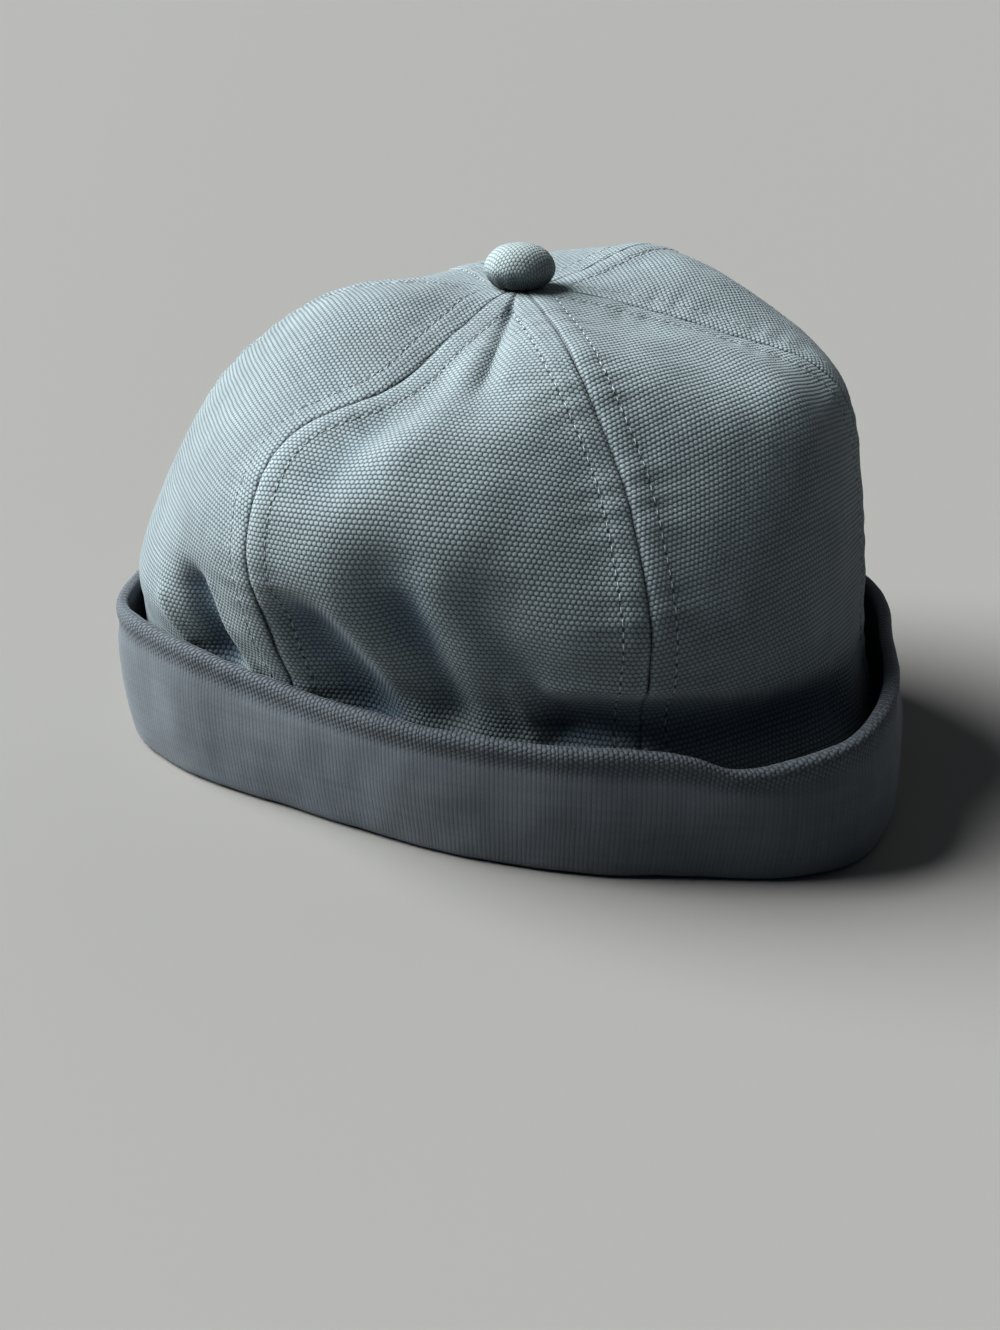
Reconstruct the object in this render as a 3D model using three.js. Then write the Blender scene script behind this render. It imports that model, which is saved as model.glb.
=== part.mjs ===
// A brimless docker cap standing on its turned-up cuff, in millimetres, with +Z up.
// +X runs along the cap's length, towards the end that is called its front here.
// Six canvas panels meet under a covered button, and a soft double cuff goes round their foot.
import * as THREE from 'three';

// Cloth
const CLOTH = 1.2; // one layer of canvas
const CUFF_WALL = 2.8; // the cuff is folded double
const GAP = 0.3; // clearance between neighbouring pieces
const SEAM_GAP = 0.4; // the same between panels, measured level, so that it stays enough where a seam slants

// Crown, about the upright axis of the button
const WAIST_UP = 44; // where the crown comes out above the cuff
const BELLY_UP = 68;
const BROW_OUT = 50; // the top's outer ring
const COLLAR_OUT = 22; // the top's inner ring
const SEAT_OUT = 10; // the flat that carries the button
const SEAT_UP = 118.6;
const TIP_OUT = 5; // the panels' points stop round the button's stem
const TIP_UP = 118.9;
const HEM_INSET = 1.2; // from the cuff's inner face to the crown's hem
const LIP_DROP = 1; // the crown's tuck is read this far below the lip
const SWING_FROM = 76; // a meridian that swings round the axis begins to at this radius
const SWING_FULL = 46; // and has swung all its way here

// Cuff
const CUFF_WEB = 11; // how far the cuff turns in under the crown's hem
const FOOT_ROUND = 2;
const CUFF_BOW = 1.2; // the cuff's face swells between its foot and its lip
const ROUNDING = 0.3; // share of a corner that its rounding takes off

// Button
const BUTTON_ACROSS = 18.4;
const BUTTON_TALL = 10.8;
const STEM_OUT = 3;
const STEM_DEEP = 4;
// The dome from its rim to its top, in shares of the button's half width and height.
const BUTTON_DOME = [
  { out: 0.86, up: 0 },
  { out: 0.96, up: 0.1 },
  { out: 1, up: 0.28 },
  { out: 0.97, up: 0.5 },
  { out: 0.84, up: 0.74 },
  { out: 0.6, up: 0.91 },
  { out: 0.3, up: 0.985 },
  { out: 0, up: 1 },
];

// Mesh density
const PANEL_ACROSS = 12;
const PANEL_RISE = 26;
const CUFF_STEPS = 96;
const BUTTON_STEPS = 32;
const SLOPE_STEP = 0.004; // step for reading the crown's slope

const PANEL_NAMES = [
  'crown_front_left',
  'crown_left',
  'crown_back_left',
  'crown_back_right',
  'crown_right',
  'crown_front_right',
];

// The cap's outline as it stands: a row for each seam and for each panel's middle, round from the front.
// Radii are from the button's axis, heights from the floor. A swing is in degrees, at the top.
const COLUMNS = [
  'angle', 'swing', 'foot', 'lip', 'lipUp', 'tuck', 'waist', 'belly',
  'shoulder', 'shoulderUp', 'browUp', 'collarUp',
];
const MERIDIANS = [
  [11, 0, 101, 98, 36, 90.5, 90, 88, 80, 100, 111, 117], // front seam
  [41, 0, 96, 97, 36, 90, 89, 88, 78, 101, 120, 119],
  [71, 0, 79, 82, 35, 78, 80, 82, 75, 102, 123, 119.5], // front left seam, the top's highest ridge
  [101, 0, 77, 80, 34, 76, 79, 81, 74, 99, 119.5, 119],
  [131, 0, 91, 93, 35, 87, 87, 86, 76, 96, 115, 118.5], // back left seam
  [161, 0, 113, 114, 36, 104, 101, 95, 80, 93, 112, 118],
  [191, 0, 106, 108, 36, 104, 103.5, 94, 79, 93, 115, 119.5], // back seam
  [221, 4, 95, 96, 37.5, 92.9, 96.6, 90.5, 77, 93, 115.5, 120],
  [251, 12, 78, 80.5, 34, 77, 83, 90, 81, 92, 105.3, 115], // back right seam, swung forwards at the top
  [282, 4, 80, 84, 33.5, 76.5, 81, 89, 75, 95, 106, 115],
  [314, -4, 95, 97.5, 33.5, 91, 92, 87, 66, 95.5, 109.5, 117], // front right seam
  [342, -2, 111, 110, 36, 96, 93, 90, 75, 98, 110, 116.5],
];
const ROWS = MERIDIANS.length;
const FULL_TURN = 360;

// Corners and dips of the cuff: each is a soft wave about an angle, added to the outline's columns.
const CUFF_WAVES = [
  { angle: 335, wide: 11, foot: 5, lip: 5, lipUp: -3.5 }, // near front corner
  { angle: 323, wide: 7, foot: 0, lip: 2, lipUp: -1.8 }, // dip beside that corner
  { angle: 211, wide: 11, foot: 4, lip: 5, lipUp: 0 }, // near back corner
];

// Dents and folds of the crown: each is a soft groove or ridge along a line between two places.
const FOLD_ACROSS = 45; // cloth across one row of the outline
const FOLD_TALL = 165; // cloth from the hem to the tip
const FOLDS = [
  { from: [8.8, 0.39], to: [8.98, 0.19], wide: 9, out: -4.5 }, // dent low on the right panel
  { from: [9.26, 0.37], to: [9.44, 0.19], wide: 9, out: -2.5 }, // its second hollow
  { from: [8.22, 0.29], to: [8.45, 0.18], wide: 11, out: -3.5 }, // tuck beside the back right seam
  { from: [9.75, 0.33], to: [11, 0.29], wide: 8, out: 2.2 }, // swell above the near front corner
  { from: [9.6, 0.19], to: [10.8, 0.16], wide: 13, out: -6 }, // tuck under that swell
  { from: [11.6, 0.74], to: [11.35, 0.57], wide: 9, out: 2.2 }, // ridge below the front seam
  { from: [7.5, 0.29], to: [7.48, 0.19], wide: 8, out: -6 }, // pocket beside the near back corner
  { from: [8.45, 0.63], to: [8.38, 0.56], wide: 7, out: -1.5 }, // hollow beside the back right seam
  { from: [9.1, 0.93], to: [8.98, 0.74], wide: 6, out: -2.2 }, // gather under the button
];

// The short way round a closed turn.
function nearest(difference, turn) {
  return THREE.MathUtils.euclideanModulo(difference + turn / 2, turn) - turn / 2;
}

// A column of the table at any place round the cap, counted in rows, on a smooth closed curve.
function around(column, place) {
  const at = COLUMNS.indexOf(column);
  const row = Math.floor(place);
  const part = place - row;
  const read = (index) => {
    const turn = Math.floor(index / ROWS);
    const value = MERIDIANS[index - turn * ROWS][at];
    return column === 'angle' ? value + turn * FULL_TURN : value;
  };
  const [before, from, to, after] = [read(row - 1), read(row), read(row + 1), read(row + 2)];
  const bend = 2 * before - 5 * from + 4 * to - after;
  const twist = 3 * (from - to) + after - before;
  return from + 0.5 * part * (to - before + part * (bend + part * twist));
}

// The same for the cuff's columns, with its corners and dips.
function cuffAt(column, place) {
  const angle = around('angle', place);
  return CUFF_WAVES.reduce((sum, wave) => {
    const away = nearest(angle - wave.angle, FULL_TURN);
    return sum + wave[column] * Math.exp(-((away / wave.wide) ** 2));
  }, around(column, place));
}

// The crown's section from its hem to the button.
const sections = new Map();
function crownSection(place) {
  if (!sections.has(place)) {
    const stations = [
      [cuffAt('foot', place) - CUFF_WALL - HEM_INSET, CUFF_WALL + GAP],
      [around('tuck', place), cuffAt('lipUp', place) - LIP_DROP],
      [around('waist', place), WAIST_UP],
      [around('belly', place), BELLY_UP],
      [around('shoulder', place), around('shoulderUp', place)],
      [BROW_OUT, around('browUp', place)],
      [COLLAR_OUT, around('collarUp', place)],
      [SEAT_OUT, SEAT_UP],
      [TIP_OUT, TIP_UP],
    ];
    const points = stations.map(([out, up]) => new THREE.Vector3(out, 0, up));
    sections.set(place, new THREE.CatmullRomCurve3(points, false, 'centripetal'));
  }
  return sections.get(place);
}

// How far the dents and folds move the crown's face out.
function foldOut(place, rise) {
  return FOLDS.reduce((sum, { from, to, wide, out }) => {
    const across = nearest(place - from[0], ROWS);
    const spot = new THREE.Vector2(across * FOLD_ACROSS, (rise - from[1]) * FOLD_TALL);
    const line = new THREE.Vector2((to[0] - from[0]) * FOLD_ACROSS, (to[1] - from[1]) * FOLD_TALL);
    const share = THREE.MathUtils.clamp(spot.dot(line) / line.lengthSq(), 0, 1);
    const away = spot.distanceTo(line.multiplyScalar(share));
    return sum + out * Math.exp(-((away / wide) ** 2));
  }, 0);
}

// The crown before its folds: place goes round in rows, rise from 0 at the hem to 1 at the tip.
function smoothPoint(place, rise) {
  const spot = crownSection(place).getPointAt(THREE.MathUtils.clamp(rise, 0, 1));
  const swung = THREE.MathUtils.smoothstep(SWING_FROM - spot.x, 0, SWING_FROM - SWING_FULL);
  const turn = THREE.MathUtils.degToRad(around('angle', place) + swung * around('swing', place));
  return new THREE.Vector3(spot.x * Math.cos(turn), spot.x * Math.sin(turn), spot.z);
}

// The outward direction of a surface that is given as points by place and rise.
function outward(surface, place, rise) {
  const along = surface(place + SLOPE_STEP, rise).sub(surface(place - SLOPE_STEP, rise));
  const upward = surface(place, rise + SLOPE_STEP).sub(surface(place, rise - SLOPE_STEP));
  return along.cross(upward).normalize();
}

// A point of the crown's outer face.
function crownPoint(place, rise) {
  const out = foldOut(place, rise);
  return smoothPoint(place, rise).addScaledVector(outward(smoothPoint, place, rise), out);
}

// A closed mesh from a list of points and a list of four-cornered faces.
function closedMesh(name, points, faces, material) {
  const geometry = new THREE.BufferGeometry();
  const index = faces.flatMap(([a, b, c, d]) => [a, b, c, a, c, d]);
  geometry.setAttribute('position', new THREE.Float32BufferAttribute(points.flatMap((p) => p.toArray()), 3));
  geometry.setIndex(index);
  geometry.computeVertexNormals();
  const mesh = new THREE.Mesh(geometry, material);
  mesh.name = name;
  return mesh;
}

// One crown panel between two seams: an outer and an inner face, one layer of cloth apart.
function crownPanel(name, number, material) {
  const first = 2 * number;
  const outer = [];
  const inner = [];
  for (let i = 0; i <= PANEL_ACROSS; i++) {
    for (let j = 0; j <= PANEL_RISE; j++) {
      const rise = j / PANEL_RISE;
      const width = crownPoint(first, rise).distanceTo(crownPoint(first + 2, rise));
      const trim = SEAM_GAP / 2 / width;
      const place = first + 2 * (trim + (1 - 2 * trim) * (i / PANEL_ACROSS));
      const point = crownPoint(place, rise);
      const back = point.clone().addScaledVector(outward(crownPoint, place, rise), -CLOTH);
      back.z = Math.max(back.z, CUFF_WALL + GAP);
      outer.push(point);
      inner.push(back);
    }
  }
  const tall = PANEL_RISE + 1;
  const under = outer.length;
  const at = (i, j) => i * tall + j;
  const faces = [];
  for (let i = 0; i < PANEL_ACROSS; i++) {
    for (let j = 0; j < PANEL_RISE; j++) {
      const corners = [at(i, j), at(i + 1, j), at(i + 1, j + 1), at(i, j + 1)];
      faces.push(corners);
      faces.push(corners.map((corner) => corner + under).reverse());
    }
    const top = PANEL_RISE;
    faces.push([at(i, 0) + under, at(i + 1, 0) + under, at(i + 1, 0), at(i, 0)]);
    faces.push([at(i, top), at(i + 1, top), at(i + 1, top) + under, at(i, top) + under]);
  }
  for (let j = 0; j < PANEL_RISE; j++) {
    const last = PANEL_ACROSS;
    faces.push([at(0, j), at(0, j + 1), at(0, j + 1) + under, at(0, j) + under]);
    faces.push([at(last, j) + under, at(last, j + 1) + under, at(last, j + 1), at(last, j)]);
  }
  return closedMesh(name, [...outer, ...inner], faces, material);
}

// The cuff's section: up its outer face, over the soft lip, down inside, and in under the crown's hem.
function cuffSection(place) {
  const foot = cuffAt('foot', place);
  const lip = cuffAt('lip', place);
  const lipUp = cuffAt('lipUp', place);
  const middle = (foot + lip) / 2 + CUFF_BOW;
  const half = CUFF_WALL / 2;
  const ease = ROUNDING * half;
  return [
    [foot - FOOT_ROUND, 0],
    [foot - ROUNDING * FOOT_ROUND, ROUNDING * FOOT_ROUND],
    [foot, FOOT_ROUND],
    [middle, lipUp / 2],
    [lip, lipUp - half],
    [lip - ease, lipUp - ease],
    [lip - half, lipUp],
    [lip - CUFF_WALL + ease, lipUp - ease],
    [lip - CUFF_WALL, lipUp - half],
    [middle - CUFF_WALL, lipUp / 2],
    [foot - CUFF_WALL, CUFF_WALL],
    [foot - CUFF_WEB, CUFF_WALL],
    [foot - CUFF_WEB, 0],
  ];
}

function cuffRing(name, material) {
  const points = [];
  const faces = [];
  let loop = 0;
  for (let step = 0; step < CUFF_STEPS; step++) {
    const place = (ROWS * step) / CUFF_STEPS;
    const turn = THREE.MathUtils.degToRad(around('angle', place));
    const section = cuffSection(place);
    loop = section.length;
    for (const [out, up] of section) {
      points.push(new THREE.Vector3(out * Math.cos(turn), out * Math.sin(turn), up));
    }
  }
  for (let step = 0; step < CUFF_STEPS; step++) {
    const here = step * loop;
    const next = ((step + 1) % CUFF_STEPS) * loop;
    for (let k = 0; k < loop; k++) {
      const after = (k + 1) % loop;
      faces.push([here + k, next + k, next + after, here + after]);
    }
  }
  return closedMesh(name, points, faces, material);
}

// The covered button: a deep dome with a soft rim, and a stem down through the panels' points.
function coveredButton(name, material) {
  const base = TIP_UP + GAP;
  const stem = [
    [0, base - STEM_DEEP],
    [STEM_OUT, base - STEM_DEEP],
    [STEM_OUT, base],
  ];
  const dome = BUTTON_DOME.map(({ out, up }) => [(out * BUTTON_ACROSS) / 2, base + up * BUTTON_TALL]);
  const points = [...stem, ...dome].map(([out, up]) => new THREE.Vector2(out, up));
  const geometry = new THREE.LatheGeometry(points, BUTTON_STEPS);
  geometry.rotateX(Math.PI / 2);
  const mesh = new THREE.Mesh(geometry, material);
  mesh.name = name;
  return mesh;
}

const crownCanvas = new THREE.MeshStandardMaterial({ color: 0x5c6a78, roughness: 0.9, metalness: 0 });
const cuffCanvas = new THREE.MeshStandardMaterial({ color: 0x4f5a66, roughness: 0.9, metalness: 0 });
const buttonCanvas = new THREE.MeshStandardMaterial({ color: 0x5a6875, roughness: 0.9, metalness: 0 });

const pieces = new THREE.Group();
PANEL_NAMES.forEach((name, number) => pieces.add(crownPanel(name, number, crownCanvas.clone())));
pieces.add(cuffRing('cuff', cuffCanvas));
pieces.add(coveredButton('button', buttonCanvas));

// The frame's origin is the middle of the cap's foot.
const box = new THREE.Box3().setFromObject(pieces, true);
const centre = box.getCenter(new THREE.Vector3());
pieces.position.set(-centre.x, -centre.y, -box.min.z);

const cap = new THREE.Group();
cap.name = 'docker_cap';
cap.add(pieces);

export default cap;
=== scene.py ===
# %% [markdown]
# # A brimless docker cap in blue-grey canvas
# The cap is sewn from cotton canvas. Six wedge-shaped panels meet under a covered button, each seam is
# opened flat and stitched down on both sides, and a deep double cuff is turned up round the foot.
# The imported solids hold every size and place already, so this lesson dresses them: each soft solid is
# copied, smoothed into cloth, given its seams, creases, stitches and weave, and shown in the solid's stead.

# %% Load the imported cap
import math

import bpy
import numpy as np
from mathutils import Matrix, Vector
from mathutils.bvhtree import BVHTree
from mathutils.geometry import barycentric_transform


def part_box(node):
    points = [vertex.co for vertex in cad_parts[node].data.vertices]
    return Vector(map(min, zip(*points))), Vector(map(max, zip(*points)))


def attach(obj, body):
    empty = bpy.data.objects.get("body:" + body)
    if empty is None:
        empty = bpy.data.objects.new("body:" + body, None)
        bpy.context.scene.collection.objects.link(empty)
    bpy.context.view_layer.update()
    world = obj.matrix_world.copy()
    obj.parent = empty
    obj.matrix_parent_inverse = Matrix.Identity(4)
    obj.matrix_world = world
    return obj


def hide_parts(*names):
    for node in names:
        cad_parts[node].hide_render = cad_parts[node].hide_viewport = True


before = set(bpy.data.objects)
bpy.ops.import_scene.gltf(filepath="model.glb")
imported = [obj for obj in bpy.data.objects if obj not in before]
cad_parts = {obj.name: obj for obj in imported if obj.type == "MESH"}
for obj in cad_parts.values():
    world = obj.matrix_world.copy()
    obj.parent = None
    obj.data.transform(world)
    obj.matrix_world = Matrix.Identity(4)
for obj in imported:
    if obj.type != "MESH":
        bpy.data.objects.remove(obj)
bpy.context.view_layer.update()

MM = 0.001  # the script's unit is the metre, and cloth is measured in millimetres
button_low, button_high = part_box("button")
AXIS = (button_low + button_high) / 2  # the panels meet on the button's upright axis
print("button axis", AXIS.x, AXIS.y)

# %% [markdown]
# ## Camera
# The photograph looks down on the cap from its right side, a little towards the front. The camera comes
# first because every later choice is judged through it. It could be aimed with a Track To constraint, but
# plain angles are easier to read: a dip below level, and a turn about the upright axis.

# %% Place the camera
CAMERA_AT = (0.2162, -0.4468, 0.2206)
CAMERA_DIP = math.radians(22.2)
CAMERA_TURN = math.radians(26)
SENSOR_MM = 36
FOCAL_PIXELS = 2000
FRAME_TALL_PIXELS = 1330
bpy.ops.object.camera_add(location=CAMERA_AT, rotation=(math.pi / 2 - CAMERA_DIP, 0, CAMERA_TURN))
camera = bpy.context.object
camera.name = "camera"
camera.data.sensor_width = SENSOR_MM
camera.data.lens = SENSOR_MM * FOCAL_PIXELS / FRAME_TALL_PIXELS
bpy.context.scene.camera = camera
print("lens", round(camera.data.lens, 2), "mm")

# %% [markdown]
# ## Floor and light
# The cap stands on a plain pale floor. One broad sun from the cap's back end lights the crown and leaves
# the near foot in shade, as a window does. A weak wide one from the far side, a weak lamp in front and a
# faint blue room keep the shade readable. Past the floor's edge the camera sees a plain backdrop, which
# lights nothing. Several small lamps would give hard shadows, and a sky image would need a file.

# %% Helpers for selecting
def alone(piece):
    """Selects one object and nothing else, because an operator acts on all that is selected."""
    bpy.ops.object.select_all(action="DESELECT")
    piece.select_set(True)
    bpy.context.view_layer.objects.active = piece


def wear(piece, material):
    """Makes this the piece's only material."""
    piece.data.materials.clear()
    piece.data.materials.append(material)


# %% Floor
FLOOR_SIZE = 14
bpy.ops.object.select_all(action="DESELECT")
bpy.ops.mesh.primitive_plane_add(size=FLOOR_SIZE)
floor = bpy.context.object
floor.name = "floor"

floor_paint = bpy.data.materials.new("floor_paint")
floor_paint.use_nodes = True
floor_shader = floor_paint.node_tree.nodes["Principled BSDF"]
floor_shader.inputs["Base Color"].default_value = (0.21, 0.207, 0.201, 1)
floor_shader.inputs["Roughness"].default_value = 0.8
floor_shader.inputs["Specular IOR Level"].default_value = 0.2
wear(floor, floor_paint)
print("floor", FLOOR_SIZE, "m wide")

# %% Lamps
def lamp(name, kind, comes_from, strength, softness, colour):
    """A lamp that shines on the cap from a direction: a sun by its angle, or an area by its size."""
    bpy.ops.object.light_add(type=kind, location=comes_from)
    made = bpy.context.object
    made.name = name
    made.rotation_euler = Vector(comes_from).to_track_quat("Z", "Y").to_euler()
    made.data.energy = strength
    made.data.color = colour
    setattr(made.data, "angle" if kind == "SUN" else "size", softness)


lamp("window_light", "SUN", (-0.72, -0.16, 0.675), 11.0, math.radians(46), (0.98, 1.0, 0.99))
lamp("back_light", "SUN", (0.25, 0.85, 0.4), 0.55, math.radians(70), (1.0, 0.95, 0.92))
lamp("front_light", "AREA", (0.55, -1.1, 0.75), 0.25, 0.8, (0.7, 0.85, 1.0))

# %% Room and backdrop
world = bpy.context.scene.world or bpy.data.worlds.new("room")
bpy.context.scene.world = world
world.use_nodes = True
room = world.node_tree.nodes
room_light = room["Background"]
room_light.inputs["Color"].default_value = (0.6, 0.81, 1.0, 1)
room_light.inputs["Strength"].default_value = 0.055
backdrop = room.new("ShaderNodeBackground")  # only seen, past the floor's edge, and lights nothing
backdrop.inputs["Color"].default_value = (0.5, 0.497, 0.485, 1)
seen = room.new("ShaderNodeLightPath")
chosen = room.new("ShaderNodeMixShader")
room_links = world.node_tree.links
room_links.new(seen.outputs["Is Camera Ray"], chosen.inputs["Fac"])
room_links.new(room_light.outputs["Background"], chosen.inputs[1])
room_links.new(backdrop.outputs["Background"], chosen.inputs[2])
room_links.new(chosen.outputs["Shader"], room["World Output"].inputs["Surface"])
bpy.context.scene.view_settings.view_transform = "Standard"
bpy.context.scene.view_settings.gamma = 0.85  # a little more contrast, like the photograph's
print("room", len(room), "nodes")

# %% [markdown]
# ## Canvas
# The cloth is a heavy plain weave: round grains of thread in rows, each row shifted by half a grain. At
# this scale the grains are finer than any mesh should be, so they are drawn by a shader node group. It
# reads the flat pattern of each piece (its UV map, kept in metres), so the rows run true to the cut. A
# group can be used by every canvas with its own pitches, and with a rib that melts a row's grains into one
# ridge where the cloth is pulled tight. It hands out only heights and tones.

# %% Helpers for shader nodes
def math_node(tree, operation, *values):
    """A Math node, fed with numbers or with other nodes' sockets."""
    node = tree.nodes.new("ShaderNodeMath")
    node.operation = operation
    for socket, value in zip(node.inputs, values):
        if isinstance(value, bpy.types.NodeSocket):
            tree.links.new(value, socket)
        else:
            socket.default_value = value
    return node.outputs[0]


def ramp(tree, value, start, end, low=0.0, high=1.0):
    """A smooth step of a value: low up to start, high from end on."""
    node = tree.nodes.new("ShaderNodeMapRange")
    node.interpolation_type = "SMOOTHSTEP"
    tree.links.new(value, node.inputs["Value"])
    node.inputs["From Min"].default_value = start
    node.inputs["From Max"].default_value = end
    node.inputs["To Min"].default_value = low
    node.inputs["To Max"].default_value = high
    return node.outputs["Result"]


def noise(tree, vector, scale, detail=2.0, stretch=(1, 1, 1)):
    """A Noise texture on a vector, drawn out by a Mapping node."""
    mapping = tree.nodes.new("ShaderNodeMapping")
    mapping.inputs["Scale"].default_value = stretch
    tree.links.new(vector, mapping.inputs["Vector"])
    node = tree.nodes.new("ShaderNodeTexNoise")
    node.inputs["Scale"].default_value = scale
    node.inputs["Detail"].default_value = detail
    tree.links.new(mapping.outputs["Vector"], node.inputs["Vector"])
    return node


# %% Weave node group
GRAIN_PITCH = 1.25 * MM  # along a row
ROW_PITCH = 1.14 * MM
GRAIN_FALL = 3.6  # how fast a grain falls away from its middle
WAVER = (0.6 * MM, 0.5 * MM, 0)  # how far the rows and the grains wander
WAVER_SCALE = 120.0
FIBRE_SHARE = 0.18  # of the height, made by loose fibres
FIBRE_SCALE = 2600.0
ROW_STREAKS = (45, 700, 1)  # noise cells in a metre, along the rows and across them
COLUMN_STREAKS = (620, 38, 1)
STREAK_RANGE = (0.6, 1.4)  # of the two noises added up
STREAK_TONES = (0.93, 1.07)


def weave_group():
    """Canvas weave: the height of its grains and the tone of its threads."""
    group = bpy.data.node_groups.new("canvas_weave", "ShaderNodeTree")
    group.interface.new_socket("Cloth", in_out="INPUT", socket_type="NodeSocketVector")
    for name in ("Grain", "Row", "Rib"):
        group.interface.new_socket(name, in_out="INPUT", socket_type="NodeSocketFloat")
    for name in ("Height", "Tone"):
        group.interface.new_socket(name, in_out="OUTPUT", socket_type="NodeSocketFloat")
    given = group.nodes.new("NodeGroupInput")
    made = group.nodes.new("NodeGroupOutput")
    cloth = given.outputs["Cloth"]

    waver = noise(group, cloth, WAVER_SCALE)
    shift = group.nodes.new("ShaderNodeVectorMath")
    shift.operation = "MULTIPLY_ADD"
    group.links.new(waver.outputs["Color"], shift.inputs[0])
    shift.inputs[1].default_value = WAVER
    group.links.new(cloth, shift.inputs[2])
    split = group.nodes.new("ShaderNodeSeparateXYZ")
    group.links.new(shift.outputs["Vector"], split.inputs["Vector"])

    # Places are counted in rows and grains, and each grain is a dome about its own middle.
    up = math_node(group, "DIVIDE", split.outputs["Y"], given.outputs["Row"])
    odd = math_node(group, "MODULO", math_node(group, "ABSOLUTE", math_node(group, "FLOOR", up)), 2.0)
    across = math_node(group, "DIVIDE", split.outputs["X"], given.outputs["Grain"])
    shifted = math_node(group, "MULTIPLY_ADD", odd, 0.5, across)
    beside = math_node(group, "PINGPONG", shifted, 0.5)
    above = math_node(group, "PINGPONG", math_node(group, "ADD", up, 0.5), 0.5)
    apart = math_node(group, "MULTIPLY_ADD", given.outputs["Rib"], -1.0, 1.0)
    spread = math_node(group, "MULTIPLY", math_node(group, "POWER", beside, 2.0), apart)
    far = math_node(group, "ADD", spread, math_node(group, "POWER", above, 2.0))
    dome = math_node(group, "MAXIMUM", math_node(group, "MULTIPLY_ADD", far, -GRAIN_FALL, 1.0), 0.0)
    grains = math_node(group, "SQRT", dome)
    fibre = noise(group, cloth, FIBRE_SCALE, 1.0).outputs["Fac"]
    threads = math_node(group, "MULTIPLY", grains, 1 - FIBRE_SHARE)
    height = math_node(group, "MULTIPLY_ADD", fibre, FIBRE_SHARE, threads)
    group.links.new(height, made.inputs["Height"])

    rows = noise(group, cloth, 1.0, 1.0, ROW_STREAKS).outputs["Fac"]
    columns = noise(group, cloth, 1.0, 1.0, COLUMN_STREAKS).outputs["Fac"]
    streaks = math_node(group, "ADD", rows, columns)
    group.links.new(ramp(group, streaks, *STREAK_RANGE, *STREAK_TONES), made.inputs["Tone"])
    return group


WEAVE = weave_group()
print("weave group", len(WEAVE.nodes), "nodes")

# %% [markdown]
# ## Canvas finishes
# Crown, cuff and button are one cloth at different wear. The cuff has been handled and folded, so it is a
# little darker: round grains stand up on its roll, and fine upright ribs are left on its face. The button's
# cloth is stretched, so its grain is finer and flatter. Colour could come from a painted map, but noise on
# the cloth keeps it free of files.
# The shader also reads numbers that each mesh carries as attributes. A panel's distance from the seam and
# the way along it darken the seam's valley, rub its shoulders pale and paint shade into a needle hole at
# each stitch, and the depth of its folds paints darker, bluer shade into the hollows. The cuff carries the
# way down from its lip, and the button the height of its dome, which paints shade on its underside.

# %% Helpers for the finishes
def attribute(tree, name):
    """A float that the piece's own mesh carries."""
    node = tree.nodes.new("ShaderNodeAttribute")
    node.attribute_name = name
    return node.outputs["Fac"]


def blend(tree, share, first, second):
    """A colour between two others."""
    node = tree.nodes.new("ShaderNodeMix")
    node.data_type = "RGBA"
    tree.links.new(share, node.inputs["Factor"])
    node.inputs["A"].default_value = (*first, 1)
    node.inputs["B"].default_value = (*second, 1)
    return node.outputs["Result"]


# %% Needle holes
STITCH_PITCH = 3.0 * MM
STITCH_IN = 6.0 * MM  # from the seam to the row of stitches
HOLE_ACROSS = 0.75 * MM
HOLE_LONG = 1.7  # times its width, along the row
HOLE_CORE = 0.2  # share of its width that is fully dark
HOLE_RIM = 0.62  # share at which the cloth is whole again


def needle_holes(tree, away, along):
    """1 at each needle hole of the row of stitches, 0 elsewhere."""
    turn = math_node(tree, "DIVIDE", math_node(tree, "PINGPONG", along, STITCH_PITCH / 2), HOLE_LONG)
    beside = math_node(tree, "SUBTRACT", away, STITCH_IN)
    squares = [math_node(tree, "POWER", gap, 2.0) for gap in (turn, beside)]
    far = math_node(tree, "SQRT", math_node(tree, "ADD", *squares))
    return ramp(tree, far, HOLE_ACROSS * HOLE_CORE, HOLE_ACROSS * HOLE_RIM, 1.0, 0.0)


# %% Wear and painted shade along the seams
# painted shade in each needle hole, as the share of the colour that it takes away
HOLE_PAINTED_SHADE = 0.68
HOLE_DEEP = 0.6  # of the weave's own height
VALLEY = (0.1 * MM, 0.6 * MM)  # from the seam, where its dark valley ends
VALLEY_TONE = 0.6
SHOULDER = (1.0 * MM, 3.2 * MM)  # from the seam, where its rubbed shoulder ends
SHOULDER_TONE = 1.12


def seam_wear_and_shade(tree, tone, height):
    """Darkens a seam's valley, paints shade into its needle holes and rubs its shoulders pale."""
    away = attribute(tree, "seam_away")
    holes = needle_holes(tree, away, attribute(tree, "seam_along"))
    valley = ramp(tree, away, *VALLEY, VALLEY_TONE, 1.0)
    shoulder = ramp(tree, away, *SHOULDER, SHOULDER_TONE, 1.0)
    tone = math_node(tree, "MULTIPLY", tone, math_node(tree, "MULTIPLY", valley, shoulder))
    # painted shade in the needle holes
    tone = math_node(tree, "MULTIPLY", tone, math_node(tree, "MULTIPLY_ADD", holes, -HOLE_PAINTED_SHADE, 1.0))
    return tone, math_node(tree, "MULTIPLY_ADD", holes, -HOLE_DEEP, height)


# %% Painted shade in the hollows
FOLD_FADE = (-3.0 * MM, 0)  # from the deepest hollow to the cloth's own level
# painted shade: the colour left in the deepest hollow, darker and bluer
HOLLOW_PAINTED_SHADE = (0.55, 0.65, 0.77)  # what is left of the colour in a hollow
PLAIN_TINT = (1, 1, 1)


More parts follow.
